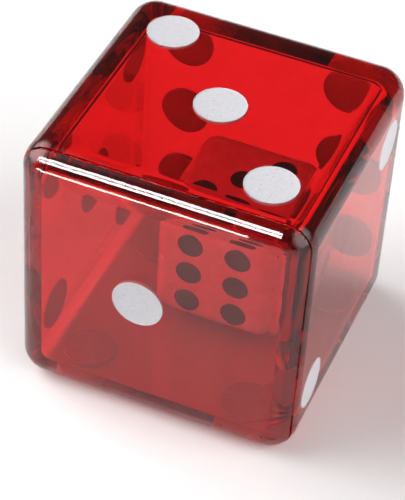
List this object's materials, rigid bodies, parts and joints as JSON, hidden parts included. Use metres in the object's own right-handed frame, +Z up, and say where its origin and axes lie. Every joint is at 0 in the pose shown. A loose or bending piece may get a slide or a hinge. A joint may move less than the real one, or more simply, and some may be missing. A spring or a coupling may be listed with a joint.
{
  "type": "die with a loose die inside",
  "caption": "Hollow clear red die with white pips and a small white die loose inside it, closed by a glued cap that carries the one.",
  "frame": {"origin": "middle of the shell's bottom face, the face with four pips, at the height of the surface that it lies on", "axes": "+Z up, through the face with three pips; -Y through the capped face with one pip; +X through the face with two pips"},
  "size_m": [0.0254, 0.0254, 0.0254],
  "materials": {
    "shell_plastic": "clear red, polished",
    "loose_plastic": "opaque white, polished",
    "white_enamel": "satin white enamel",
    "black_enamel": "satin black enamel"
  },
  "bodies": {
    "shell": {"shell_box": "shell_plastic", "shell_cap": "shell_plastic", "shell_pip_front_1": "white_enamel", "shell_pip_right_1": "white_enamel", "shell_pip_right_2": "white_enamel", "shell_pip_top_1": "white_enamel", "shell_pip_top_2": "white_enamel", "shell_pip_top_3": "white_enamel", "shell_pip_bottom_1": "white_enamel", "shell_pip_bottom_2": "white_enamel", "shell_pip_bottom_3": "white_enamel", "shell_pip_bottom_4": "white_enamel", "shell_pip_left_1": "white_enamel", "shell_pip_left_2": "white_enamel", "shell_pip_left_3": "white_enamel", "shell_pip_left_4": "white_enamel", "shell_pip_left_5": "white_enamel", "shell_pip_back_1": "white_enamel", "shell_pip_back_2": "white_enamel", "shell_pip_back_3": "white_enamel", "shell_pip_back_4": "white_enamel", "shell_pip_back_5": "white_enamel", "shell_pip_back_6": "white_enamel"},
    "inner_die": {"loose_body": "loose_plastic", "loose_pip_back_1": "black_enamel", "loose_pip_left_1": "black_enamel", "loose_pip_left_2": "black_enamel", "loose_pip_top_1": "black_enamel", "loose_pip_top_2": "black_enamel", "loose_pip_top_3": "black_enamel", "loose_pip_bottom_1": "black_enamel", "loose_pip_bottom_2": "black_enamel", "loose_pip_bottom_3": "black_enamel", "loose_pip_bottom_4": "black_enamel", "loose_pip_right_1": "black_enamel", "loose_pip_right_2": "black_enamel", "loose_pip_right_3": "black_enamel", "loose_pip_right_4": "black_enamel", "loose_pip_right_5": "black_enamel", "loose_pip_front_1": "black_enamel", "loose_pip_front_2": "black_enamel", "loose_pip_front_3": "black_enamel", "loose_pip_front_4": "black_enamel", "loose_pip_front_5": "black_enamel", "loose_pip_front_6": "black_enamel"}
  },
  "joints": [
    {"name": "loose_die_slide", "type": "slide", "parent": "shell", "child": "inner_die", "axis": [0, -1, 0], "range_m": [-0.0007, 0.0096]}
  ]
}
